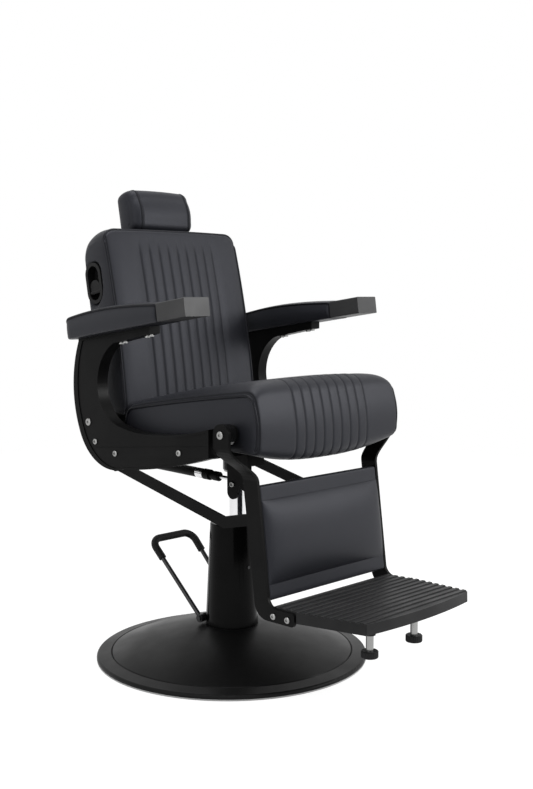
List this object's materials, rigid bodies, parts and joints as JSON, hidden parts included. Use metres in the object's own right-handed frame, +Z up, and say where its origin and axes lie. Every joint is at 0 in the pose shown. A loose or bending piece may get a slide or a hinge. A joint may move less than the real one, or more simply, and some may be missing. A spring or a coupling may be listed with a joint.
{
  "type": "barber chair",
  "caption": "Black upholstered barber chair on a round hydraulic base, with curved arm frames, reclining back, headrest and a linked leg rest",
  "frame": {"origin": "centre of the round base on the floor", "axes": "+X to the sitter's left, +Y to the rear, +Z up"},
  "size_m": [0.7, 0.9666, 1.2119],
  "materials": {
    "black_leather": "satin",
    "frame_black": "matte",
    "arm_black": "matte",
    "base_black": "satin",
    "column_gloss": "gloss",
    "cast_weight": "matte",
    "chrome": "polished",
    "bright_steel": "satin",
    "dark_steel": "satin",
    "grip_rubber": "matte",
    "black_plastic": "matte",
    "socket_black": "matte",
    "arm_end_grey": "satin",
    "plywood": "matte",
    "clear_plastic": "gloss"
  },
  "bodies": {
    "base": {"base_weight": "cast_weight", "floor_ring": "clear_plastic", "base_cover": "base_black", "column_cover": "column_gloss", "column_cap": "column_gloss", "column_screw": "bright_steel", "shaft_bushes": "black_plastic", "pump_cylinder": "bright_steel"},
    "pump_lever": {"pump_shaft": "dark_steel", "pump_lever_rod": "dark_steel", "pump_lever_grip": "grip_rubber"},
    "lift": {"lift_ram": "chrome", "swivel_washer": "bright_steel"},
    "seat": {"seat_hub": "dark_steel", "seat_mount_plate": "frame_black", "seat_frame": "frame_black", "seat_pan": "plywood", "seat_cushion": "black_leather", "seat_side_plates": "frame_black", "arm_frame_left": "arm_black", "arm_frame_right": "arm_black", "arm_frame_bolts": "bright_steel", "pivot_bolts": "bright_steel", "pivot_spacers": "frame_black", "arm_pad_left": "black_leather", "arm_pad_right": "black_leather", "arm_ends": "arm_end_grey", "arm_pad_screws": "bright_steel", "release_bracket": "frame_black", "release_bolts": "bright_steel"},
    "legrest": {"legrest_arm_left": "frame_black", "legrest_arm_right": "frame_black", "leg_panel": "black_leather", "calf_pad": "black_leather", "footplate": "black_plastic", "footplate_bolts": "bright_steel", "foot_sockets": "socket_black", "link_front_pins": "bright_steel"},
    "link_left": {"push_link_left": "frame_black"},
    "link_right": {"push_link_right": "frame_black"},
    "foot_left": {"foot_stud_left": "bright_steel", "foot_knob_left": "black_plastic"},
    "foot_right": {"foot_stud_right": "bright_steel", "foot_knob_right": "black_plastic"},
    "back": {"back_board": "plywood", "back_cushion": "black_leather", "back_hinge_plates": "frame_black", "back_cross_tube": "frame_black", "link_rear_pins": "bright_steel", "release_bezel": "black_plastic", "headrest_guide": "frame_black", "paddle_pin": "bright_steel"},
    "headrest": {"headrest_post": "bright_steel", "headrest_cushion": "black_leather", "headrest_screws": "bright_steel"},
    "paddle": {"release_paddle": "black_plastic"},
    "gas_body": {"gas_cylinder": "frame_black", "gas_ring": "chrome", "gas_gland": "frame_black"},
    "gas_piston": {"gas_rod": "chrome"}
  },
  "joints": [
    {"name": "pump_press", "type": "hinge", "parent": "base", "child": "pump_lever", "pos_m": [0, 0.05, 0.098], "axis": [-1, 0, 0], "range_deg": [0, 16], "stiffness_Nm_per_rad": 4, "springref_deg": -22.92},
    {"name": "lift_height", "type": "slide", "parent": "base", "child": "lift", "axis": [0, 0, 1], "range_m": [-0.1, 0.05]},
    {"name": "swivel", "type": "hinge", "parent": "lift", "child": "seat", "pos_m": [0, -0.02, 0.49], "axis": [0, 0, 1], "continuous": true},
    {"name": "recline", "type": "hinge", "parent": "seat", "child": "back", "pos_m": [0, 0.206, 0.617], "axis": [-1, 0, 0], "range_deg": [0, 35]},
    {"name": "legrest_swing", "type": "hinge", "parent": "seat", "child": "legrest", "pos_m": [0, -0.268, 0.624], "axis": [-1, 0, 0], "range_deg": [0, 20.9]},
    {"name": "link_left_turn", "type": "hinge", "parent": "back", "child": "link_left", "pos_m": [0.203, 0.207, 0.4965], "axis": [-1, 0, 0], "range_deg": [-35.2, 0]},
    {"name": "link_right_turn", "type": "hinge", "parent": "back", "child": "link_right", "pos_m": [-0.203, 0.207, 0.4965], "axis": [-1, 0, 0], "range_deg": [-35.2, 0]},
    {"name": "gas_swing", "type": "hinge", "parent": "back", "child": "gas_body", "pos_m": [-0.08, 0.226, 0.488], "axis": [-1, 0, 0], "range_deg": [-36.9, 0]},
    {"name": "gas_stroke", "type": "slide", "parent": "gas_body", "child": "gas_piston", "axis": [0, 0.9996, 0.0266], "range_m": [0, 0.0778]},
    {"name": "headrest_height", "type": "slide", "parent": "back", "child": "headrest", "axis": [0, 0.1857, 0.9826], "range_m": [0, 0.1]},
    {"name": "release_pull", "type": "hinge", "parent": "back", "child": "paddle", "pos_m": [-0.226, 0.2604, 0.94192], "axis": [0, -0.9826, 0.1857], "range_deg": [0, 18], "stiffness_Nm_per_rad": 0.4, "springref_deg": -17.19},
    {"name": "foot_left_screw", "type": "slide", "parent": "legrest", "child": "foot_left", "axis": [0, 0, -1], "range_m": [-0.022, 0.02]},
    {"name": "foot_right_screw", "type": "slide", "parent": "legrest", "child": "foot_right", "axis": [0, 0, -1], "range_m": [-0.022, 0.02]}
  ],
  "couplings": [
    {"joint": "legrest_swing", "follows": "recline", "ratio": 0.5953},
    {"joint": "link_left_turn", "follows": "recline", "ratio": -1.0049},
    {"joint": "link_right_turn", "follows": "recline", "ratio": -1.0049},
    {"joint": "gas_swing", "follows": "recline", "ratio": -1.0515},
    {"joint": "gas_stroke", "follows": "recline", "m_per_rad": 0.12717}
  ]
}
